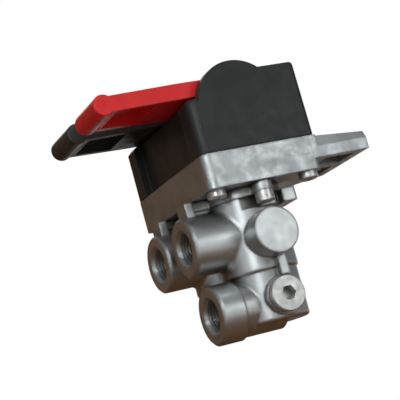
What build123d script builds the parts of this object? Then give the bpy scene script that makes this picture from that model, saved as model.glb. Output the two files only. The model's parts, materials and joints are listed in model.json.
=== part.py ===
from build123d import *
import os
from math import cos, radians, sin

os.makedirs("parts", exist_ok=True)

# Modelled about the centre of the housing rim, z = 0 on the rim's top face.
# Saved about the middle of the two flange holes, on the seats their bolts bear on.
# +X runs from the lever tips to the mounting flange, +Z is the lever side.

# ---------------------------------------------------------------- rim and flange
rim_length = 57.0
rim_width = 86.0
rim_height = 15.5
rim_wall = 3.5
rim_floor = 5.0
rim_corner_r = 4.0
flange_reach = 25.5
flange_end_width = 47.0
flange_bottom_z = -10.7
flange_taper = 9.6
flange_edge_drop = 5.4
flange_edge_run = 2.6
flange_tip_drop = 2.2
flange_lip = 5.0
flange_seat_z = -7.4
flange_seat_t = 1.5
flange_rib = 6.0
flange_hole_d = 7.0
flange_hole_pitch = 23.0
flange_hole_inset_x = 13.0
flange_hole_inset_y = 13.0

# ---------------------------------------------------------------- hood
gasket_t = 0.5
gasket_inset = 0.3
ledge_z = 25.6
deck_z = 35.2
hood_wall = 3.0
hood_corner_r = 4.5
hood_back_corner_r = 2.5
deck_corner_r = 3.0
hump_r = 19.9
hub_x = -3.25
hub_z = 20.2
cheek_t = 4.3
web_t = 5.0
recess_depth = 4.0
pillar_len = 12.5
slot_right_x = 8.25
pillar_r = 4.5
pillar_top_z = 10.5
pillar_inset_x = 6.0
left_pillar_inset_y = 8.5
right_pillar_inset_y = 5.5

# ---------------------------------------------------------------- levers
side_gap = 0.3
washer_t = 0.8
washer_r = 9.0
drum_r = 16.5
drum_gap = 0.8
bush_wall = 1.5
bush_len = 10.0
arm_bottom_z = 27.4
arm_top_z = 34.7
arm_solid_x = -38.75
tip_x = -63.05
tip_r = 4.9
tip_inset = 2.5
channel_wall = 3.2
arm_skin = 2.8
drum_core_depth = 8.0
swing_deg = 72.0

# ---------------------------------------------------------------- cam and spools
cam_r = 17.1
cam_width = 9.0
spool_stroke = 3.4
follower_gap = 0.3
stem_r = 4.0
bore_r = 7.0
slide_clear = 0.05
seal_clear = 0.02
seal_section = 1.66
top_seal_drop = 2.5
middle_seal_drop = 12.5
low_seal_drop = 23.5
waist_drop = 17.5
waist_len = 5.0
waist_r = 5.2
spool_drop = 25.9
guide_t = 3.5
guide_r = 9.0
ring_t = 1.1
spring_wire = 0.9
spring_r = 5.2
spring_turns = 4.0
spring_gap = 0.3

# ---------------------------------------------------------------- valve body
unit_pitch = 34.0
column_r = 17.2
column_drop = 38.5
lower_r = 16.2
lower_drop = 61.0
deck_t = 4.0
spigot_r = 11.7
spigot_height = 7.0
port_boss_r = 13.5
port_face_x = -36.95
port_drop = 19.7
low_port_face_x = -32.75
low_port_drop = 51.5
low_boss_end_x = -21.25
low_neck_drop = 1.0
low_neck_past_hub = 2.5
port_r = 7.25
port_mouth_r = 8.6
port_depth = 13.0
passage_r = 4.0
blind_boss_r = 10.5
blind_face_y = -43.8
blind_drop = 23.2
plug_boss_r = 8.8
plug_face_y = -38.0
plug_drop = 50.7
plug_head_r = 8.1
plug_head_t = 2.6
plug_thread_r = 6.0
plug_len = 9.0
plug_hex = 6.0
seal_washer_t = 1.0
finger_inset_x = 3.6
finger_width = 6.0
tab_width = 10.0
tab_len = 3.8
web_plate_t = 4.0
casting_r = 1.6
port_fillet_r = 2.5
port_chamfer = 0.9
blind_chamfer = 0.5
bore_floor_t = 4.0
chamber_floor_t = 4.5
lug_left = 11.5
lug_width = 7.0
lug_drop = 6.0
lug_inset_y = 7.0
lug_edge_r = 1.4
screw_recess_left = 8.0
screw_recess_back = 12.0
body_boss_r = 4.6

# ---------------------------------------------------------------- fasteners
cover_screw_r = 2.0
cover_screw_head_r = 4.4
cover_screw_head_t = 3.5
cover_screw_len = 24.5
body_screw_r = 2.5
body_screw_head_r = 4.25
body_screw_head_t = 5.0
body_screw_len = 13.0
body_screw_inset_y = 5.0
body_screw_shift_x = 1.5
ear_wall = 0.3
screw_head_room = 0.6
hole_clear = 0.3
thread_clear = 0.04
press = 0.01
shaft_r = 4.0
shaft_pocket = 3.0
cap_r = 6.0
cap_t = 1.8
drum_pocket_ring = 11.0
drum_pocket_r = 2.6

# ---------------------------------------------------------------- derived values
half_l = rim_length / 2
half_w = rim_width / 2
cheek_y = half_w - cheek_t
side_play = washer_t + side_gap
drum_in_y = web_t / 2 + side_play
drum_out_y = cheek_y - side_play
unit_y = unit_pitch / 2
deck_top_z = -rim_height - gasket_t
spigot_top_z = -rim_height + spigot_height
column_bottom_z = -rim_height - column_drop
lower_bottom_z = -rim_height - lower_drop
port_z = -rim_height - port_drop
low_port_z = -rim_height - low_port_drop
blind_z = -rim_height - blind_drop
plug_z = -rim_height - plug_drop
waist_z = -rim_height - waist_drop
spool_bottom_z = -rim_height - spool_drop
deck_low_z = deck_top_z - deck_t
hood_z = gasket_t
cavity_r = drum_r + drum_gap
cavity_left = -half_l + recess_depth + hood_wall
corner_x = half_l - pillar_inset_x
left_corner_y = half_w - left_pillar_inset_y
right_corner_y = half_w - right_pillar_inset_y
corners = [
    (-corner_x, -left_corner_y),
    (-corner_x, left_corner_y),
    (corner_x, -right_corner_y),
    (corner_x, right_corner_y),
]
screw_reach = 14.0
front_screw_y = half_w - body_screw_inset_y
front_screw_x = hub_x + body_screw_shift_x
ear_r = body_screw_head_r + ear_wall
body_screws_at = [
    (front_screw_x, -front_screw_y),
    (front_screw_x, front_screw_y),
    (hub_x - screw_reach, 0),
    (hub_x + screw_reach, 0),
]
units = [(hub_x, -unit_y), (hub_x, unit_y)]
follower_z = hub_z - cam_r - follower_gap
counterbore_floor_z = spigot_top_z - guide_t - ring_t - 1.4
land_top_z = counterbore_floor_z - 0.3
bore_bottom_z = column_bottom_z + bore_floor_t
seal_levels = [-rim_height - drop for drop in (top_seal_drop, middle_seal_drop, low_seal_drop)]
cart_len = 12.0
cart_bottom_z = bore_bottom_z - cart_len
chamber_bottom_z = lower_bottom_z + chamber_floor_t
cam_rate = spool_stroke / radians(swing_deg)
flange_x = half_l + flange_reach
flange_far_y = -half_w + flange_end_width
hole_x = flange_x - flange_hole_inset_x
hole_y = -half_w + flange_hole_inset_y
flange_holes = [(hole_x, hole_y), (hole_x, hole_y + flange_hole_pitch)]
seat_mid_y = hole_y + flange_hole_pitch / 2
pocket_top_z = flange_seat_z + flange_seat_t


def block(x0, x1, y0, y1, z0, z1, mode=Mode.ADD):
    """Box between two corners, in whatever part is being built."""
    with Locations(((x0 + x1) / 2, (y0 + y1) / 2, (z0 + z1) / 2)):
        Box(x1 - x0, y1 - y0, z1 - z0, mode=mode)


def rod_z(places, r, z0, z1, mode=Mode.ADD):
    """Round bars along Z at the (x, y) places."""
    with Locations([(x, y, (z0 + z1) / 2) for x, y in places]):
        Cylinder(r, z1 - z0, mode=mode)


def rod_y(x, z, r, y0, y1, mode=Mode.ADD):
    """Round bar along Y."""
    with Locations(Location((x, (y0 + y1) / 2, z), (90, 0, 0))):
        Cylinder(r, abs(y1 - y0), mode=mode)


def rod_x(y, z, r, x0, x1, mode=Mode.ADD):
    """Round bar along X."""
    with Locations(Location(((x0 + x1) / 2, y, z), (0, 90, 0))):
        Cylinder(r, abs(x1 - x0), mode=mode)


def outline(length, width, corner, z0, z1, mode=Mode.ADD):
    """Rounded rectangle about the origin, raised from z0 to z1."""
    with BuildSketch(Plane.XY.offset(z0)) as shape:
        RectangleRounded(length, width, corner)
    extrude(shape.sketch, amount=z1 - z0, mode=mode)


def circles_at(solid, axis, level):
    """Circular edges of a solid that lie at one level along an axis."""
    return solid.edges().filter_by(GeomType.CIRCLE).filter_by_position(axis, level - 0.01, level + 0.01)


def saddles(shape):
    """Curved edges where round bars meet."""
    return [e for e in shape.edges() if e.geom_type not in (GeomType.CIRCLE, GeomType.LINE)]


def save(part, label):
    """Write one named part, moved to the flange-hole origin."""
    placed = part.moved(Location((-hole_x, -seat_mid_y, -flange_seat_z)))
    placed.label = label
    export_step(placed, f"parts/{label}.step")


# ================================================================ base plate
with BuildPart() as base_plate:
    with BuildSketch(Plane.XY.offset(flange_bottom_z)):
        with BuildLine():
            Polyline(
                (half_l - rim_wall, -half_w),
                (flange_x, -half_w),
                (flange_x, flange_far_y),
                (flange_x - flange_taper, flange_far_y + flange_taper),
                (half_l - rim_wall, flange_far_y + flange_reach + rim_wall),
                close=True,
            )
        make_face()
    extrude(amount=-flange_bottom_z)
    with BuildSketch(Plane.XZ.offset(half_w)):
        with BuildLine():
            Polyline(
                (half_l, 0),
                (flange_x, -flange_tip_drop),
                (flange_x, 1),
                (half_l, 1),
                close=True,
            )
        make_face()
    extrude(amount=-rim_width, mode=Mode.SUBTRACT)
    with BuildSketch(Plane.YZ.offset(half_l)):
        with BuildLine():
            Polyline(
                (-half_w, -flange_edge_drop),
                (-half_w + flange_edge_run, 0),
                (-half_w, 0),
                close=True,
            )
        make_face()
    extrude(amount=flange_reach, mode=Mode.SUBTRACT)
    pocket_x0 = half_l + flange_lip
    pocket_x1 = flange_x - flange_lip
    for y0, y1 in (
        (-half_w + flange_lip, seat_mid_y - flange_rib / 2),
        (seat_mid_y + flange_rib / 2, flange_far_y - 1.5),
    ):
        block(pocket_x0, pocket_x1, y0, y1, flange_bottom_z, pocket_top_z, Mode.SUBTRACT)
    rod_z(flange_holes, flange_hole_d / 2 + 2.5, flange_seat_z, pocket_top_z)
    rod_z(flange_holes, flange_hole_d / 2, flange_bottom_z, 0, Mode.SUBTRACT)
    outline(rim_length, rim_width, rim_corner_r, -rim_height, 0)
    outline(
        rim_length - 2 * rim_wall,
        rim_width - 2 * rim_wall,
        1.0,
        rim_floor - rim_height,
        0,
        Mode.SUBTRACT,
    )
    rod_z(corners, pillar_r, -rim_height, 0)
    rod_z(body_screws_at, body_boss_r, -rim_height, deck_top_z + body_screw_len)
    rod_z(units, spigot_r + hole_clear, -rim_height, 0, Mode.SUBTRACT)
    rod_z(corners, cover_screw_r + hole_clear, -rim_height, 0, Mode.SUBTRACT)
    rod_z(body_screws_at, body_screw_r + thread_clear, -rim_height, 0, Mode.SUBTRACT)
save(base_plate.part, "base_plate")

# ================================================================ valve body
near_y = -unit_y
plug_seat_y = plug_face_y + plug_head_t + seal_washer_t
ports = [
    (-unit_y, port_z, port_face_x),
    (unit_y, port_z, port_face_x),
    (near_y, low_port_z, low_port_face_x),
]
with BuildPart() as valve_body:
    rod_z(units, column_r, column_bottom_z, deck_low_z)
    fillet(valve_body.edges().group_by(Axis.Z)[0], casting_r)
    for y in (-unit_y, unit_y):
        rod_x(y, port_z, port_boss_r, port_face_x, hub_x)
    fillet(saddles(valve_body), port_fillet_r)
    rod_z([units[0]], lower_r, lower_bottom_z, port_z)
    fillet(valve_body.edges().group_by(Axis.Z)[0], casting_r)
    with BuildSketch(Plane.XY.offset(deck_low_z)):
        with Locations(units):
            Circle(column_r + 1.0)
        with Locations((hub_x, 0)):
            Rectangle(2 * screw_reach, unit_pitch)
        with Locations((front_screw_x, 0)):
            Rectangle(2 * ear_r, 2 * front_screw_y)
        with Locations(body_screws_at):
            Circle(ear_r)
    extrude(amount=deck_t)
    finger_x = port_face_x + finger_inset_x
    tab_low_z = port_z + port_boss_r - casting_r
    for y in (-unit_y, unit_y):
        y0 = y - finger_width / 2
        y1 = y + finger_width / 2
        block(finger_x, hub_x, y0, y1, deck_low_z, deck_top_z)
        block(finger_x, finger_x + tab_len, y - tab_width / 2, y + tab_width / 2, tab_low_z, deck_top_z)
        block(finger_x, hub_x, y - web_plate_t / 2, y + web_plate_t / 2, port_z, deck_top_z)
    rod_z(units, spigot_r, deck_top_z, spigot_top_z)
    block(hub_x - 7, hub_x + 7, -unit_y, unit_y, column_bottom_z + bore_floor_t, deck_low_z)
    rod_x(near_y, low_port_z, port_boss_r, low_port_face_x, low_boss_end_x)
    rod_x(near_y, low_port_z, port_boss_r - low_neck_drop, low_boss_end_x, hub_x + low_neck_past_hub)
    rod_y(hub_x, blind_z, blind_boss_r, blind_face_y, near_y)
    rod_y(hub_x, plug_z, plug_boss_r, plug_seat_y, near_y)
    fin_low_z = plug_z + plug_head_r + 0.4
    block(hub_x, hub_x + web_plate_t, -half_w + 6.0, near_y, fin_low_z, blind_z)
    for axis, level, size in (
        (Axis.X, port_face_x, port_chamfer),
        (Axis.X, low_port_face_x, port_chamfer),
        (Axis.Y, blind_face_y, blind_chamfer),
    ):
        chamfer(circles_at(valve_body, axis, level), size)
    recess_low_z = deck_low_z - body_screw_head_t - screw_head_room
    recess_y = -half_w + screw_recess_back
    recess_x = hub_x - screw_recess_left
    block(recess_x, hub_x + lug_left, -half_w, recess_y, recess_low_z, deck_low_z, Mode.SUBTRACT)
    with BuildSketch(Plane.XY.offset(deck_low_z - lug_drop)):
        with Locations((hub_x + lug_left + lug_width / 2, (-half_w + lug_inset_y + near_y) / 2)):
            RectangleRounded(lug_width, near_y + half_w - lug_inset_y, lug_edge_r)
    extrude(amount=lug_drop)
    rod_z(units, bore_r, bore_bottom_z, spigot_top_z, Mode.SUBTRACT)
    rod_z([units[0]], bore_r, chamber_bottom_z, spigot_top_z, Mode.SUBTRACT)
    rod_z(units, guide_r + press, counterbore_floor_z, spigot_top_z, Mode.SUBTRACT)
    rod_z(body_screws_at, body_screw_r + hole_clear, deck_low_z, deck_top_z, Mode.SUBTRACT)
    rod_z(body_screws_at, ear_r, recess_low_z, deck_low_z, Mode.SUBTRACT)
    for y, z, x in ports:
        rod_x(y, z, port_r, x, x + port_depth, Mode.SUBTRACT)
        rod_x(y, z, passage_r, x, hub_x, Mode.SUBTRACT)
        mouth = port_mouth_r - port_r
        with Locations(Location((x + mouth / 2, y, z), (0, 90, 0))):
            Cone(port_mouth_r, port_r, mouth, mode=Mode.SUBTRACT)
    tapped_r = plug_thread_r + thread_clear
    rod_y(hub_x, plug_z, tapped_r, plug_seat_y, plug_seat_y + plug_len, Mode.SUBTRACT)
    rod_y(hub_x, plug_z, passage_r, plug_seat_y, near_y, Mode.SUBTRACT)
save(valve_body.part, "valve_body")

# ================================================================ hood
with BuildPart() as cover:
    with BuildSketch(Plane.XZ.offset(half_w)):
        with BuildLine():
            Polyline(
                (-half_l, hood_z),
                (half_l, hood_z),
                (half_l, deck_z),
                (hub_x, deck_z),
                (hub_x, ledge_z),
                (-half_l, ledge_z),
                close=True,
            )
        make_face()
        with Locations((hub_x, hub_z)):
            Circle(hump_r)
    extrude(amount=-rim_width)
    top_right = cover.edges().filter_by(Axis.Y).filter_by_position(Axis.X, half_l - 0.1, half_l + 0.1)
    fillet(top_right.sort_by(Axis.Z)[-1], deck_corner_r)
    with BuildSketch(Plane.XY.offset(hood_z)) as plan:
        Rectangle(rim_length, rim_width)
        fillet(plan.vertices().group_by(Axis.X)[0], hood_corner_r)
        fillet(plan.vertices().group_by(Axis.X)[-1], hood_back_corner_r)
    extrude(amount=hub_z + hump_r, mode=Mode.INTERSECT)
    wall_y = half_w - pillar_len
    block(-half_l, -half_l + recess_depth, -wall_y, wall_y, hood_z, ledge_z, Mode.SUBTRACT)
    left_tops = cover.edges().filter_by(Axis.Y).filter_by_position(Axis.X, -half_l - 0.1, -half_l + 0.1)
    chamfer(left_tops.filter_by_position(Axis.Z, ledge_z - 0.1, ledge_z + 0.1), 1.8)
    for side in (-1, 1):
        y0, y1 = sorted((side * web_t / 2, side * cheek_y))
        block(cavity_left, half_l - hood_wall, y0, y1, hood_z, ledge_z - hood_wall, Mode.SUBTRACT)
        block(hub_x, half_l - hood_wall, y0, y1, hood_z, deck_z - hood_wall, Mode.SUBTRACT)
        rod_y(hub_x, hub_z, cavity_r, y0, y1, Mode.SUBTRACT)
        slot_in = drum_in_y - 0.6
        slot_out = drum_out_y + 0.6
        y0, y1 = sorted((side * slot_in, side * slot_out))
        block(-half_l, slot_right_x, y0, y1, ledge_z, hub_z + hump_r, Mode.SUBTRACT)
    rod_z(corners, pillar_r, hood_z, pillar_top_z)
    rod_y(hub_x, hub_z, shaft_r + press + 0.02, -cheek_y - shaft_pocket, half_w, Mode.SUBTRACT)
    rod_y(hub_x, hub_z, cap_r + press, half_w - cap_t, half_w, Mode.SUBTRACT)
    screw_top_z = cover_screw_len - rim_height
    rod_z(corners, cover_screw_r + thread_clear, hood_z, screw_top_z + 0.8, Mode.SUBTRACT)
save(cover.part, "cover")

# ================================================================ gaskets
with BuildPart() as cover_gasket:
    outline(rim_length - 2 * gasket_inset, rim_width - 2 * gasket_inset, rim_corner_r, 0, gasket_t)
    outline(rim_length - 2 * rim_wall, rim_width - 2 * rim_wall, 1.0, 0, gasket_t, Mode.SUBTRACT)
    rod_z(corners, pillar_r, 0, gasket_t)
    rod_z(corners, cover_screw_r + hole_clear, 0, gasket_t, Mode.SUBTRACT)
save(cover_gasket.part, "cover_gasket")

with BuildPart() as body_gasket:
    with BuildSketch(Plane.XY.offset(deck_top_z)):
        with Locations(units):
            Circle(column_r + 1.0 - gasket_inset)
        with Locations((hub_x, 0)):
            Rectangle(2 * screw_reach - 2 * gasket_inset, unit_pitch)
        with Locations((front_screw_x, 0)):
            Rectangle(2 * (ear_r - gasket_inset), 2 * front_screw_y)
        with Locations(body_screws_at):
            Circle(ear_r - gasket_inset)
        with Locations(body_screws_at):
            Circle(body_screw_r + hole_clear, mode=Mode.SUBTRACT)
        with Locations(units):
            Circle(spigot_r + hole_clear, mode=Mode.SUBTRACT)
    extrude(amount=gasket_t)
save(body_gasket.part, "body_gasket")

# ================================================================ screws
with BuildPart() as cover_screws:
    rod_z(corners, cover_screw_r, -rim_height, cover_screw_len - rim_height)
    head_z = -rim_height - cover_screw_head_t
    rod_z(corners, cover_screw_head_r, head_z, -rim_height)
    domes = circles_at(cover_screws, Axis.Z, head_z)
    fillet(domes, 1.2)
    for x, y in corners:
        block(x - 2.2, x + 2.2, y - 0.5, y + 0.5, head_z, head_z + 1.6, Mode.SUBTRACT)
        block(x - 0.5, x + 0.5, y - 2.2, y + 2.2, head_z, head_z + 1.6, Mode.SUBTRACT)
save(cover_screws.part, "cover_screws")

with BuildPart() as body_screws:
    shank_top_z = deck_low_z + body_screw_len
    head_z = deck_low_z - body_screw_head_t
    rod_z(body_screws_at, body_screw_r, deck_low_z, shank_top_z)
    rod_z(body_screws_at, body_screw_head_r, head_z, deck_low_z)
    ends = circles_at(body_screws, Axis.Z, head_z)
    chamfer(ends, 0.5)
    with BuildSketch(Plane.XY.offset(head_z)):
        with Locations(body_screws_at):
            RegularPolygon(2.0, 6, major_radius=False)
    extrude(amount=2.6, mode=Mode.SUBTRACT)
save(body_screws.part, "body_screws")

# ================================================================ pivot
with BuildPart() as pivot_shaft:
    rod_y(hub_x, hub_z, shaft_r, -cheek_y - shaft_pocket + 0.3, half_w - cap_t - 0.2)
    shaft_ends = pivot_shaft.edges().filter_by(GeomType.CIRCLE)
    chamfer(shaft_ends, 0.4)
save(pivot_shaft.part, "pivot_shaft")

with BuildPart() as shaft_cap:
    rod_y(hub_x, hub_z, cap_r, half_w - cap_t, half_w)
    outer = circles_at(shaft_cap, Axis.Y, half_w)
    fillet(outer, 0.5)
save(shaft_cap.part, "shaft_cap")

with BuildPart() as thrust_washers:
    for y0 in (web_t / 2, cheek_y - washer_t):
        for side in (-1, 1):
            rod_y(hub_x, hub_z, washer_r, side * y0, side * (y0 + washer_t))
    rod_y(hub_x, hub_z, shaft_r + 0.1, -cheek_y, cheek_y, Mode.SUBTRACT)
save(thrust_washers.part, "thrust_washers")


def cam_point(step, steps):
    """Point of the cam edge for a flat follower that moves in step with the angle."""
    phi = radians(-12) + step / steps * radians(swing_deg + 24)
    h = cam_r + cam_rate * phi
    x = hub_x + h * sin(phi) + cam_rate * cos(phi)
    z = hub_z - h * cos(phi) + cam_rate * sin(phi)
    return (x, z)


def make_lever(side, label):
    """One handle: drum on the shaft, cam under it and the channelled arm."""
    y_in = side * drum_in_y
    y_out = side * drum_out_y
    cam_y = side * unit_y
    with BuildPart() as lever:
        rod_y(hub_x, hub_z, drum_r, y_in, y_out)
        with BuildSketch(Plane.XY.offset(arm_bottom_z)):
            with BuildLine():
                Polyline(
                    (hub_x, y_in),
                    (-half_l, y_in),
                    (tip_x, y_in + side * tip_inset),
                    (tip_x, y_out - side * tip_inset),
                    (-half_l, y_out),
                    (hub_x, y_out),
                    close=True,
                )
            make_face()
        extrude(amount=arm_top_z - arm_bottom_z)
        tip_z = (arm_bottom_z + arm_top_z) / 2
        rod_y(tip_x, tip_z, tip_r, y_in + side * tip_inset, y_out - side * tip_inset)
        circles = lever.edges().filter_by(GeomType.CIRCLE)
        ends = circles.filter_by_position(Axis.X, tip_x - tip_r - 1, tip_x + tip_r)
        fillet(ends, 0.7)
        with BuildSketch(Plane.XY.offset(arm_bottom_z)):
            with BuildLine():
                x_far = tip_x + tip_r + 0.6
                inset = tip_inset * 0.85 + channel_wall
                Polyline(
                    (arm_solid_x, y_in + side * (channel_wall + 0.6)),
                    (x_far, y_in + side * inset),
                    (x_far, y_out - side * inset),
                    (arm_solid_x, y_out - side * (channel_wall + 0.6)),
                    close=True,
                )
            make_face()
        extrude(amount=arm_top_z - arm_bottom_z - arm_skin, mode=Mode.SUBTRACT)
        with BuildSketch(Plane.XZ.offset(-cam_y + cam_width / 2)):
            with BuildLine():
                points = [cam_point(i, 12) for i in range(13)]
                Spline(*points)
                Polyline(points[-1], (hub_x, hub_z), points[0])
            make_face()
        extrude(amount=-cam_width)
        for y0, way in ((y_in, side), (y_out, -side)):
            y1 = y0 + way * drum_core_depth
            for deg in (20, 65, 205, 250, 295, 340):
                px = hub_x + drum_pocket_ring * cos(radians(deg))
                pz = hub_z + drum_pocket_ring * sin(radians(deg))
                rod_y(px, pz, drum_pocket_r, y0, y1, Mode.SUBTRACT)
        rod_y(hub_x, hub_z, shaft_r + bush_wall + press, y_in, y_out, Mode.SUBTRACT)
    save(lever.part, f"{label}_lever")
    with BuildPart() as bushes:
        for y0, way in ((y_in, side), (y_out, -side)):
            rod_y(hub_x, hub_z, shaft_r + bush_wall, y0, y0 + way * bush_len)
        rod_y(hub_x, hub_z, shaft_r + slide_clear, y_in, y_out, Mode.SUBTRACT)
    save(bushes.part, f"{label}_bushes")


# ================================================================ spool stack
def make_unit(side, label):
    """Spool with its seals, guide, retaining ring and return spring."""
    at = (hub_x, side * unit_y)
    land_r = bore_r - slide_clear
    seal_mid_r = bore_r - seal_clear - seal_section / 2
    groove_r = seal_mid_r - seal_section / 2
    with BuildPart() as spool:
        rod_z([at], stem_r, land_top_z, follower_z)
        rod_z([at], land_r, spool_bottom_z, land_top_z)
        top = spool.edges().filter_by(GeomType.CIRCLE).sort_by(Axis.Z)[-1]
        fillet(top, 0.8)
        grooves = [(z, seal_section + 0.5, groove_r) for z in seal_levels] + [(waist_z, waist_len, waist_r)]
        for z, width, r in grooves:
            with BuildSketch(Plane.XY.offset(z - width / 2)):
                with Locations(at):
                    Circle(land_r + 0.5)
                    Circle(r, mode=Mode.SUBTRACT)
            extrude(amount=width, mode=Mode.SUBTRACT)
        rod_z([at], 3.2, spool_bottom_z, spool_bottom_z + 3.0, Mode.SUBTRACT)
    save(spool.part, f"{label}_spool")

    with BuildPart() as seals:
        with Locations([(at[0], at[1], z) for z in seal_levels]):
            Torus(seal_mid_r, seal_section / 2 - 0.005)
    save(seals.part, f"{label}_spool_seals")

    with BuildPart() as guide:
        rod_z([at], guide_r, counterbore_floor_z, counterbore_floor_z + guide_t)
        rod_z([at], stem_r + slide_clear, counterbore_floor_z, 0, Mode.SUBTRACT)
    save(guide.part, f"{label}_guide")

    with BuildPart() as spring:
        height = spool_bottom_z - bore_bottom_z - 2 * spring_gap - spring_wire
        pitch = height / spring_turns
        with BuildLine(Plane((at[0], at[1], bore_bottom_z + spring_gap + spring_wire / 2))):
            coil = Helix(pitch, height, spring_r)
        with BuildSketch(Plane(coil @ 0, z_dir=coil % 0)):
            RegularPolygon(spring_wire / 2, 6)
        sweep(path=coil)
    save(spring.part, f"{label}_spring")


for side, label in ((-1, "red"), (1, "black")):
    make_lever(side, label)
    make_unit(side, label)

with BuildPart() as retaining_rings:
    ring_z = counterbore_floor_z + guide_t
    rod_z(units, guide_r, ring_z, ring_z + ring_t)
    rod_z(units, guide_r - 2.2, ring_z, ring_z + ring_t, Mode.SUBTRACT)
    for x, y in units:
        block(x - 1.8, x + 1.8, y, y + guide_r + 1, ring_z, ring_z + ring_t, Mode.SUBTRACT)
save(retaining_rings.part, "retaining_rings")

# ================================================================ check valve and plug
near = units[0]
with BuildPart() as check_cartridge:
    rod_z([near], bore_r - press, cart_bottom_z, bore_bottom_z)
    rod_z([near], 3.0, cart_bottom_z, bore_bottom_z, Mode.SUBTRACT)
    rod_z([near], 4.6, cart_bottom_z, cart_bottom_z + 5.0, Mode.SUBTRACT)
save(check_cartridge.part, "check_cartridge")

poppet_top_z = cart_bottom_z + 4.7
poppet_r = 4.3
poppet_low_z = cart_bottom_z - 1.5
with BuildPart() as check_poppet:
    rod_z([near], poppet_r, poppet_low_z, poppet_top_z)
    tip = check_poppet.edges().filter_by(GeomType.CIRCLE).sort_by(Axis.Z)[-1]
    chamfer(tip, 1.4)
    rod_z([near], 2.2, poppet_low_z, poppet_low_z + 2.5, Mode.SUBTRACT)
save(check_poppet.part, "check_poppet")

with BuildPart() as check_spring:
    wire = 0.8
    low = chamber_bottom_z + wire / 2 + 0.05
    height = poppet_low_z - 0.05 - wire / 2 - low
    with BuildLine(Plane((near[0], near[1], low))):
        coil = Helix(height / 4, height, 3.2)
    with BuildSketch(Plane(coil @ 0, z_dir=coil % 0)):
        RegularPolygon(wire / 2, 6)
    sweep(path=coil)
save(check_spring.part, "check_spring")

with BuildPart() as port_plug:
    head_y = plug_face_y + plug_head_t
    rod_y(hub_x, plug_z, plug_head_r, plug_face_y, head_y)
    rod_y(hub_x, plug_z, plug_thread_r, head_y, head_y + seal_washer_t + plug_len - 1.0)
    face = circles_at(port_plug, Axis.Y, plug_face_y)
    chamfer(face, 0.45)
    with BuildSketch(Plane.XZ.offset(-plug_face_y)):
        with Locations((hub_x, plug_z)):
            RegularPolygon(plug_hex / 2, 6, major_radius=False)
    extrude(amount=-5.0, mode=Mode.SUBTRACT)
save(port_plug.part, "port_plug")

with BuildPart() as plug_seal:
    seal_y = plug_face_y + plug_head_t
    rod_y(hub_x, plug_z, plug_head_r - 0.3, seal_y, seal_y + seal_washer_t)
    rod_y(hub_x, plug_z, plug_thread_r + 0.1, seal_y, seal_y + seal_washer_t, Mode.SUBTRACT)
save(plug_seal.part, "plug_seal")
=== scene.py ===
import json
import math

import bmesh
import bpy
from mathutils import Matrix, Vector


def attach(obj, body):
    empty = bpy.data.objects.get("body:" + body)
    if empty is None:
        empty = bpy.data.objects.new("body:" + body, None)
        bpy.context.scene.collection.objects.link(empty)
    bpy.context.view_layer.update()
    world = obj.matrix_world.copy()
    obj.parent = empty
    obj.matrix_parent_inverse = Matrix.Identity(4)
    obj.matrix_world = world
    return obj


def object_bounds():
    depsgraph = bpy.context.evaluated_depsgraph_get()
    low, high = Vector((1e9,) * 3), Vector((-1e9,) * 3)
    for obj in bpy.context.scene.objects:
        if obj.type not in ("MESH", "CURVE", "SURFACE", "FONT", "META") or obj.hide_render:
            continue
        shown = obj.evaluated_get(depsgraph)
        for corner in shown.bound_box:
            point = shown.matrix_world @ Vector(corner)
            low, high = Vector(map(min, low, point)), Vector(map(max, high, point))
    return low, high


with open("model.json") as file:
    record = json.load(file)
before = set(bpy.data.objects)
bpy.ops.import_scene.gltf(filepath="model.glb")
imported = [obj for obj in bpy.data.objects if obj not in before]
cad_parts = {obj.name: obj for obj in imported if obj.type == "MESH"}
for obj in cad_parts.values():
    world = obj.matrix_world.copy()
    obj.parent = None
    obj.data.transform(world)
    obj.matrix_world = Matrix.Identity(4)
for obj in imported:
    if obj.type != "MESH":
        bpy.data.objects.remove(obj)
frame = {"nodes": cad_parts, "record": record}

cad_box = [list(c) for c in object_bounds()]
nodes = frame["nodes"]
record = frame["record"]
mounts = {m["name"]: m for m in record["mounts"]}
MM = 0.001

# Port threads: pitch, ridge height, how far in they start, what they leave free at the end.
THREAD_PITCH = 1.5 * MM
THREAD_DEPTH = 0.40 * MM
THREAD_START = 4.2 * MM
THREAD_RUNOUT = 2.0 * MM
STEPS_PER_TURN = 40
FADE_TURNS = 0.6

# Stage: floor below the object, sheets around it, and how much white each one shows.
FLOOR_DROP = 76.0 * MM
FLOOR_SIZE = 6.0
FLOOR_WHITE = 0.85
BACKDROP_BEHIND = 1.2
BACKDROP_SIZE = 1.3
BACKDROP_WHITE = 1.0
CARD_ABOVE_FLOOR = 24.0 * MM
WORLD_DIM = 0.17
WORLD_IN_METAL = 0.08


# ---------------------------------------------------------------- materials
def link(tree, a, b):
    tree.links.new(a, b)


def add_node(tree, kind, **values):
    node = tree.nodes.new(kind)
    for key, value in values.items():
        setattr(node, key, value)
    return node


def noise(tree, coords, size_mm, detail=4.0, rough=0.55, stretch=None):
    """Noise with features of about size_mm."""
    tex = add_node(tree, "ShaderNodeTexNoise")
    tex.inputs["Scale"].default_value = 1.0 / (size_mm * MM)
    tex.inputs["Detail"].default_value = detail
    tex.inputs["Roughness"].default_value = rough
    source = coords
    if stretch:
        mapping = add_node(tree, "ShaderNodeMapping")
        mapping.inputs["Scale"].default_value = stretch
        link(tree, coords, mapping.inputs["Vector"])
        source = mapping.outputs["Vector"]
    link(tree, source, tex.inputs["Vector"])
    return tex.outputs["Fac"]


def spread(tree, value, low, high, to_low=0.0, to_high=1.0):
    """Maps low..high to to_low..to_high, clamped."""
    remap = add_node(tree, "ShaderNodeMapRange", interpolation_type="SMOOTHSTEP")
    link(tree, value, remap.inputs["Value"])
    for socket, number in (("From Min", low), ("From Max", high), ("To Min", to_low), ("To Max", to_high)):
        remap.inputs[socket].default_value = number
    return remap.outputs["Result"]


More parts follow.
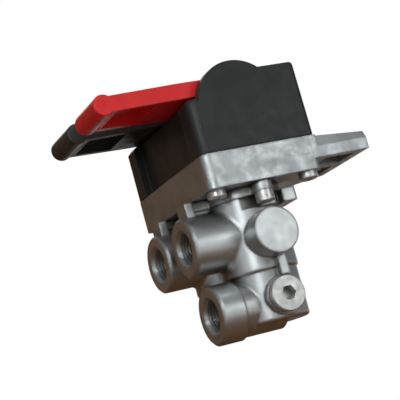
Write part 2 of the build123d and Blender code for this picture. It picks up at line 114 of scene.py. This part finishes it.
def blend_colour(tree, factor, a, b):
    """Mixes two colours by a factor socket; a and b are colours or sockets."""
    mix = add_node(tree, "ShaderNodeMix", data_type="RGBA")
    link(tree, factor, mix.inputs[0])
    for slot, value in ((6, a), (7, b)):
        if isinstance(value, tuple):
            mix.inputs[slot].default_value = (*value, 1.0)
        else:
            link(tree, value, mix.inputs[slot])
    return mix.outputs[2]


def surface(
    name,
    base,
    second,
    rough,
    metallic=0.0,
    patch_mm=9.0,
    patch_amount=0.6,
    speck=None,
    grain_mm=0.35,
    grain_depth=0.02,
    wave_mm=None,
    wave_depth=0.0,
    edge_mm=0.35,
    edge_colour=None,
    edge_amount=0.5,
    crevice_shade_and_grime=None,
    rough_span=0.1,
    stretch=None,
    round_mm=0.5,
    specular=0.5,
):
    """A procedural surface: patchy colour, specks, worn edges, painted shade with some grime in crevices,
    grain and broad unevenness.
    """
    mat = bpy.data.materials.new(name)
    mat.use_nodes = True
    tree = mat.node_tree
    shader = tree.nodes["Principled BSDF"]
    shader.inputs["Metallic"].default_value = metallic
    shader.inputs["Specular IOR Level"].default_value = specular
    coords = add_node(tree, "ShaderNodeTexCoord").outputs["Object"]
    patches = spread(tree, noise(tree, coords, patch_mm, 5.0, 0.6, stretch), 0.38, 0.66, 0.0, patch_amount)
    colour = blend_colour(tree, patches, base, second)
    if speck:
        speck_colour, speck_mm, low, amount = speck
        spots = spread(tree, noise(tree, coords, speck_mm, 2.0, 0.5), low, low + 0.1, 0.0, amount)
        colour = blend_colour(tree, spots, colour, speck_colour)
    soft = add_node(tree, "ShaderNodeBevel", samples=4)
    soft.inputs["Radius"].default_value = round_mm * MM
    if edge_colour:
        edge = add_node(tree, "ShaderNodeBevel", samples=4)
        edge.inputs["Radius"].default_value = edge_mm * MM
        geometry = add_node(tree, "ShaderNodeNewGeometry")
        dot = add_node(tree, "ShaderNodeVectorMath", operation="DOT_PRODUCT")
        link(tree, edge.outputs["Normal"], dot.inputs[0])
        link(tree, geometry.outputs["Normal"], dot.inputs[1])
        worn = spread(tree, dot.outputs["Value"], 0.80, 0.99, edge_amount, 0.0)
        broken = spread(tree, noise(tree, coords, 2.2, 3.0), 0.38, 0.62)
        both = add_node(tree, "ShaderNodeMath", operation="MULTIPLY")
        link(tree, worn, both.inputs[0])
        link(tree, broken, both.inputs[1])
        colour = blend_colour(tree, both.outputs[0], colour, edge_colour)
    # Painted shade: ambient occlusion darkens crevices, bores, joints and recesses with a dark brownish
    # colour, partly standing for grime.
    if crevice_shade_and_grime:
        shade_and_grime_colour, reach_mm, amount = crevice_shade_and_grime
        shelter = add_node(tree, "ShaderNodeAmbientOcclusion", samples=6)
        shelter.inputs["Distance"].default_value = reach_mm * MM
        link(tree, soft.outputs["Normal"], shelter.inputs["Normal"])
        painted_shade_and_grime = spread(tree, shelter.outputs["AO"], 0.30, 0.94, amount, 0.0)
        colour = blend_colour(tree, painted_shade_and_grime, colour, shade_and_grime_colour)
    link(tree, colour, shader.inputs["Base Color"])
    mottled = noise(tree, coords, patch_mm * 0.45, 4.0, 0.6, stretch)
    roughness = spread(tree, mottled, 0.3, 0.7, rough - rough_span, rough + rough_span)
    link(tree, roughness, shader.inputs["Roughness"])
    normal = soft.outputs["Normal"]
    if wave_mm:
        broad = add_node(tree, "ShaderNodeBump")
        broad.inputs["Distance"].default_value = wave_depth * MM
        link(tree, noise(tree, coords, wave_mm, 2.0), broad.inputs["Height"])
        link(tree, normal, broad.inputs["Normal"])
        normal = broad.outputs["Normal"]
    fine = add_node(tree, "ShaderNodeBump")
    fine.inputs["Distance"].default_value = grain_depth * MM
    link(tree, noise(tree, coords, grain_mm, 3.0, 0.6, stretch), fine.inputs["Height"])
    link(tree, normal, fine.inputs["Normal"])
    link(tree, fine.outputs["Normal"], shader.inputs["Normal"])
    return mat


# Each grime setting below gives the colour of painted shade in crevices (partly grime), how far it reaches
# in mm, and how strong it is.
cast_plate = surface(
    "cast_plate", (0.385, 0.41, 0.415), (0.28, 0.295, 0.30), 0.40, metallic=0.88, patch_mm=12.0,
    patch_amount=0.6, speck=((0.20, 0.19, 0.18), 1.3, 0.74, 0.35), grain_mm=0.5, grain_depth=0.03,
    wave_mm=9.0, wave_depth=0.08, edge_colour=(0.66, 0.68, 0.69), edge_amount=0.7, round_mm=0.9,
    crevice_shade_and_grime=((0.12, 0.11, 0.10), 6.0, 0.6),
)
cast_body = surface(
    "cast_body", (0.45, 0.475, 0.48), (0.355, 0.37, 0.375), 0.37, metallic=0.92, patch_mm=14.0,
    patch_amount=0.6, speck=((0.22, 0.21, 0.20), 0.8, 0.76, 0.3), grain_mm=0.4, grain_depth=0.02,
    wave_mm=12.0, wave_depth=0.05, edge_colour=(0.60, 0.63, 0.64), edge_amount=0.6, round_mm=1.4,
    crevice_shade_and_grime=((0.09, 0.075, 0.06), 8.0, 0.85), rough_span=0.04,
)
hood_plastic = surface(
    "hood_plastic", (0.015, 0.017, 0.016), (0.024, 0.027, 0.025), 0.37, specular=0.27, patch_mm=14.0,
    patch_amount=0.5, speck=((0.12, 0.125, 0.12), 0.9, 0.73, 0.35), grain_mm=0.28, grain_depth=0.03,
    wave_mm=18.0, wave_depth=0.25, edge_colour=(0.12, 0.125, 0.12), edge_amount=0.5,
    rough_span=0.07, round_mm=0.8,
)
red_plastic = surface(
    "red_plastic", (0.66, 0.014, 0.016), (0.56, 0.010, 0.012), 0.36, specular=0.35, patch_mm=10.0,
    patch_amount=0.5, speck=((0.80, 0.16, 0.13), 0.8, 0.72, 0.3), grain_mm=0.3, grain_depth=0.012,
    wave_mm=12.0, wave_depth=0.2, edge_colour=(0.86, 0.22, 0.20), edge_amount=0.5,
    rough_span=0.07, round_mm=0.8,
)
black_plastic = surface(
    "black_plastic", (0.024, 0.025, 0.022), (0.036, 0.038, 0.034), 0.40, specular=0.35, patch_mm=10.0,
    patch_amount=0.5, speck=((0.11, 0.11, 0.10), 0.8, 0.73, 0.3), grain_mm=0.3, grain_depth=0.015,
    wave_mm=12.0, wave_depth=0.2, edge_colour=(0.13, 0.135, 0.13), edge_amount=0.5,
    rough_span=0.08, round_mm=0.8,
)
zinc_steel = surface(
    "zinc_steel", (0.54, 0.55, 0.55), (0.44, 0.43, 0.40), 0.36, metallic=0.9, patch_mm=3.5,
    patch_amount=0.5, grain_mm=0.3, grain_depth=0.003, edge_colour=(0.85, 0.86, 0.86),
    edge_amount=0.6, crevice_shade_and_grime=((0.10, 0.085, 0.07), 3.0, 0.7), round_mm=0.25,
)
plug_steel = surface(
    "plug_steel", (0.53, 0.55, 0.535), (0.45, 0.46, 0.445), 0.44, metallic=0.75, patch_mm=5.0,
    patch_amount=0.5, grain_mm=0.3, grain_depth=0.004, edge_colour=(0.70, 0.71, 0.71),
    edge_amount=0.6, crevice_shade_and_grime=((0.10, 0.085, 0.07), 3.0, 0.8), round_mm=0.3,
)
ground_steel = surface(
    "ground_steel", (0.58, 0.59, 0.60), (0.50, 0.51, 0.52), 0.22, metallic=1.0, patch_mm=3.0,
    grain_mm=0.12, grain_depth=0.004, stretch=(1.0, 0.05, 1.0), round_mm=0.2,
)
spring_steel = surface(
    "spring_steel", (0.40, 0.41, 0.43), (0.30, 0.31, 0.33), 0.32, metallic=1.0, patch_mm=2.0,
    grain_mm=0.15, grain_depth=0.004, round_mm=0.2,
)
bronze = surface(
    "bronze", (0.56, 0.38, 0.18), (0.42, 0.27, 0.12), 0.42, metallic=1.0, patch_mm=2.0,
    speck=((0.16, 0.10, 0.05), 0.3, 0.66, 0.7), grain_mm=0.18, grain_depth=0.012, round_mm=0.2,
)
brass = surface(
    "brass", (0.76, 0.58, 0.26), (0.66, 0.47, 0.20), 0.27, metallic=1.0, patch_mm=3.0,
    grain_mm=0.12, grain_depth=0.005, stretch=(0.2, 0.2, 1.0), round_mm=0.2,
)
turned_alloy = surface(
    "turned_alloy", (0.70, 0.71, 0.73), (0.60, 0.61, 0.63), 0.28, metallic=1.0, patch_mm=3.0,
    grain_mm=0.12, grain_depth=0.006, stretch=(0.15, 0.15, 1.0), round_mm=0.25,
)
rubber = surface(
    "rubber", (0.022, 0.022, 0.023), (0.035, 0.034, 0.033), 0.62, patch_mm=2.0, grain_mm=0.15,
    grain_depth=0.008, round_mm=0.2,
)
gasket_sheet = surface(
    "gasket_sheet", (0.030, 0.031, 0.030), (0.055, 0.052, 0.048), 0.75, patch_mm=1.6,
    speck=((0.14, 0.13, 0.12), 0.35, 0.66, 0.6), grain_mm=0.2, grain_depth=0.02, round_mm=0.1,
)
copper = surface(
    "copper", (0.70, 0.36, 0.22), (0.50, 0.24, 0.14), 0.34, metallic=1.0, patch_mm=2.0,
    grain_mm=0.15, grain_depth=0.008, round_mm=0.15,
)

by_slot = {
    "cast_plate": cast_plate,
    "cast_body": cast_body,
    "hood_plastic": hood_plastic,
    "red_plastic": red_plastic,
    "black_plastic": black_plastic,
    "steel": zinc_steel,
    "shaft_steel": ground_steel,
    "spring_steel": spring_steel,
    "bronze": bronze,
    "brass": brass,
    "spool_alloy": turned_alloy,
    "rubber": rubber,
    "gasket": gasket_sheet,
    "copper": copper,
}
for part in record["subparts"]:
    node = nodes[part["node"]]
    node.data.materials.clear()
    node.data.materials.append(by_slot[part["material_slot"]])
nodes["port_plug"].data.materials.clear()
nodes["port_plug"].data.materials.append(plug_steel)


# ---------------------------------------------------------------- pieces
def piece(name, bm, material, body, smooth=True):
    """Turns a bmesh into a named piece that rides on a body."""
    bmesh.ops.recalc_face_normals(bm, faces=bm.faces)
    mesh = bpy.data.meshes.new(name)
    bm.to_mesh(mesh)
    bm.free()
    for poly in mesh.polygons:
        poly.use_smooth = smooth
    mesh.materials.append(material)
    obj = bpy.data.objects.new(name, mesh)
    bpy.context.collection.objects.link(obj)
    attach(obj, body)
    return obj


def thread(name, centre, axis, wall_r, depth, length, pitch, material, body):
    """Internal thread: one ridge that winds along the wall of a bore, running out at both ends."""
    along = Vector(axis).normalized()
    side = along.orthogonal().normalized()
    up = along.cross(side)
    turns = length / pitch
    steps = int(turns * STEPS_PER_TURN)
    bm = bmesh.new()
    rows = []
    for i in range(steps + 1):
        t = i / steps
        angle = 2 * math.pi * turns * t
        run = min(1.0, t * turns / FADE_TURNS, (1 - t) * turns / FADE_TURNS)
        radial = side * math.cos(angle) + up * math.sin(angle)
        base = Vector(centre) - along * (length * t)
        ring = []
        for shift, height in ((-0.46, 0.0), (-0.12, 1.0), (0.12, 1.0), (0.46, 0.0)):
            r = wall_r - depth * height * run
            ring.append(bm.verts.new(base + radial * r + along * (shift * pitch)))
        rows.append(ring)
    for a, b in zip(rows, rows[1:]):
        for k in range(3):
            bm.faces.new((a[k], a[k + 1], b[k + 1], b[k]))
        bm.faces.new((a[3], a[0], b[0], b[3]))
    bm.faces.new(rows[0])
    bm.faces.new(tuple(reversed(rows[-1])))
    return piece(name, bm, material, body, smooth=False)


for mount_name in ("port_red", "port_black", "port_supply"):
    mount = mounts[mount_name]
    wall_r = mount["dims"]["r_mm"] * MM
    length = mount["dims"]["length_mm"] * MM
    axis = Vector(mount["axis"])
    start = Vector(mount["pos_m"]) + axis * THREAD_START
    thread(
        mount_name + "_thread", start, axis, wall_r, THREAD_DEPTH, length - THREAD_RUNOUT,
        THREAD_PITCH, cast_body, "housing",
    )

# ---------------------------------------------------------------- stage, light, camera
centre = (Vector(cad_box[0]) + Vector(cad_box[1])) / 2
view_right = Vector((0.894618, -0.361402, -0.262769))
view_up = Vector((0.177030, -0.253275, 0.951058))
view_back = Vector((-0.410267, -0.897352, -0.162605))
camera_at = Vector((-0.303958, -0.523352, -0.102381))

camera_data = bpy.data.cameras.new("camera")
camera_data.sensor_width = 36.0
camera_data.lens = 117.0
camera_data.clip_start = 0.01
camera_data.clip_end = 50.0
camera = bpy.data.objects.new("camera", camera_data)
bpy.context.collection.objects.link(camera)
turn = Matrix((view_right, view_up, view_back)).transposed().to_4x4()
camera.matrix_world = Matrix.Translation(camera_at) @ turn
bpy.context.scene.camera = camera


def only_seen(tree, also=("Is Glossy Ray", "Is Transmission Ray")):
    """1 for camera, glossy and transmission rays."""
    path = add_node(tree, "ShaderNodeLightPath")
    value = path.outputs["Is Camera Ray"]
    for name in also:
        larger = add_node(tree, "ShaderNodeMath", operation="MAXIMUM")
        link(tree, value, larger.inputs[0])
        link(tree, path.outputs[name], larger.inputs[1])
        value = larger.outputs[0]
    return value


def show_white(material, share):
    """Adds white, seen by camera, glossy and transmission rays, over a material's own surface."""
    tree = material.node_tree
    out = tree.nodes["Material Output"]
    glow = add_node(tree, "ShaderNodeEmission")
    glow.inputs["Color"].default_value = (1.0, 1.0, 1.0, 1.0)
    glow.inputs["Strength"].default_value = 1.0
    scaled = add_node(tree, "ShaderNodeMath", operation="MULTIPLY")
    link(tree, only_seen(tree), scaled.inputs[0])
    scaled.inputs[1].default_value = share
    lift = add_node(tree, "ShaderNodeMixShader")
    link(tree, scaled.outputs[0], lift.inputs[0])
    link(tree, tree.nodes["Principled BSDF"].outputs[0], lift.inputs[1])
    link(tree, glow.outputs[0], lift.inputs[2])
    link(tree, lift.outputs[0], out.inputs["Surface"])


world = bpy.data.worlds.new("world")
bpy.context.scene.world = world
world.use_nodes = True
world_tree = world.node_tree
dim = world_tree.nodes["Background"]
dim.inputs["Color"].default_value = (0.92, 0.95, 1.0, 1.0)
dim.inputs["Strength"].default_value = WORLD_DIM
white = add_node(world_tree, "ShaderNodeBackground")
white.inputs["Color"].default_value = (1.0, 1.0, 1.0, 1.0)
mirrored = add_node(world_tree, "ShaderNodeMath", operation="MULTIPLY")
link(world_tree, only_seen(world_tree), mirrored.inputs[0])
mirrored.inputs[1].default_value = WORLD_IN_METAL
shown = add_node(world_tree, "ShaderNodeMath", operation="MAXIMUM")
link(world_tree, only_seen(world_tree, also=()), shown.inputs[0])
link(world_tree, mirrored.outputs[0], shown.inputs[1])
both = add_node(world_tree, "ShaderNodeMixShader")
link(world_tree, shown.outputs[0], both.inputs[0])
link(world_tree, dim.outputs[0], both.inputs[1])
link(world_tree, white.outputs[0], both.inputs[2])
link(world_tree, both.outputs[0], world_tree.nodes["World Output"].inputs["Surface"])


def plain(name, colour, rough):
    """A plain, slightly uneven stage surface."""
    mat = bpy.data.materials.new(name)
    mat.use_nodes = True
    tree = mat.node_tree
    shader = tree.nodes["Principled BSDF"]
    shader.inputs["Roughness"].default_value = rough
    coords = add_node(tree, "ShaderNodeTexCoord").outputs["Object"]
    soft = spread(tree, noise(tree, coords, 60.0, 3.0), 0.3, 0.7)
    paler = tuple(min(1.0, c * 1.04) for c in colour)
    link(tree, blend_colour(tree, soft, colour, paler), shader.inputs["Base Color"])
    return mat


def facing(position, target):
    """A matrix at position whose +Z axis points away from target."""
    back = (Vector(position) - Vector(target)).normalized()
    turn = back.to_track_quat("Z", "Y").to_matrix().to_4x4()
    return Matrix.Translation(position) @ turn


def sheet(name, width, height, matrix, material):
    """A flat stage sheet."""
    bm = bmesh.new()
    bmesh.ops.create_grid(bm, x_segments=8, y_segments=8, size=0.5)
    bmesh.ops.scale(bm, vec=(width, height, 1.0), verts=bm.verts)
    mesh = bpy.data.meshes.new(name)
    bm.to_mesh(mesh)
    bm.free()
    mesh.materials.append(material)
    obj = bpy.data.objects.new(name, mesh)
    obj.matrix_world = matrix
    bpy.context.collection.objects.link(obj)
    return obj


floor_mat = plain("floor_pale", (0.86, 0.85, 0.83), 0.8)
show_white(floor_mat, FLOOR_WHITE)
floor_z = cad_box[0][2] - FLOOR_DROP
sheet("floor", FLOOR_SIZE, FLOOR_SIZE, Matrix.Translation((0, 0, floor_z)), floor_mat)

backdrop_mat = plain("backdrop_pale", (0.90, 0.90, 0.90), 0.9)
show_white(backdrop_mat, BACKDROP_WHITE)
behind = facing(centre - view_back * BACKDROP_BEHIND, centre)
sheet("backdrop", BACKDROP_SIZE, BACKDROP_SIZE, behind, backdrop_mat)

# Brown cards that the camera doesn't see give the sides and undersides a warm reflection.
card_mat = plain("card_brown", (0.38, 0.22, 0.12), 0.8)
desk_mat = plain("card_desk", (0.30, 0.135, 0.045), 0.8)
beside = facing(centre + Vector((-0.32, 0.42, 0.0)), centre)
below = Matrix.Translation((-0.05, 0.30, floor_z + CARD_ABOVE_FLOOR))
card_left = sheet("card_left", 0.9, 0.7, beside, card_mat)
card_low = sheet("card_low", 0.9, 0.9, below, desk_mat)
for card in (card_left, card_low):
    card.visible_camera = False


def lamp(name, way, distance, size, power, colour):
    """A soft round lamp, aimed at the middle of the object."""
    data = bpy.data.lights.new(name, "AREA")
    data.shape = "DISK"
    data.size = size
    data.energy = power
    data.color = colour
    obj = bpy.data.objects.new(name, data)
    obj.matrix_world = facing(centre + Vector(way).normalized() * distance, centre)
    bpy.context.collection.objects.link(obj)
    return obj


# Each lamp: name, direction it shines from, distance, size, power, colour.
lamp("key", (-0.18, -0.86, 0.46), 0.90, 0.40, 2.3, (1.0, 1.0, 1.0))
lamp("front_right", (0.45, -0.88, 0.10), 0.90, 0.34, 0.85, (0.98, 1.0, 1.0))
lamp("window_left", (-0.62, -0.76, 0.18), 0.90, 0.14, 1.3, (0.93, 0.97, 1.0))
lamp("far_left", (-0.90, -0.36, 0.22), 0.90, 0.10, 0.3, (0.93, 0.97, 1.0))
lamp("top", (0.25, -0.35, 0.90), 0.85, 0.45, 1.0, (0.95, 0.98, 1.0))
lamp("low_front", (0.05, -0.93, -0.38), 0.90, 0.25, 0.85, (0.93, 0.98, 1.0))

# ---------------------------------------------------------------- render setup
bpy.context.scene.view_settings.view_transform = "Standard"
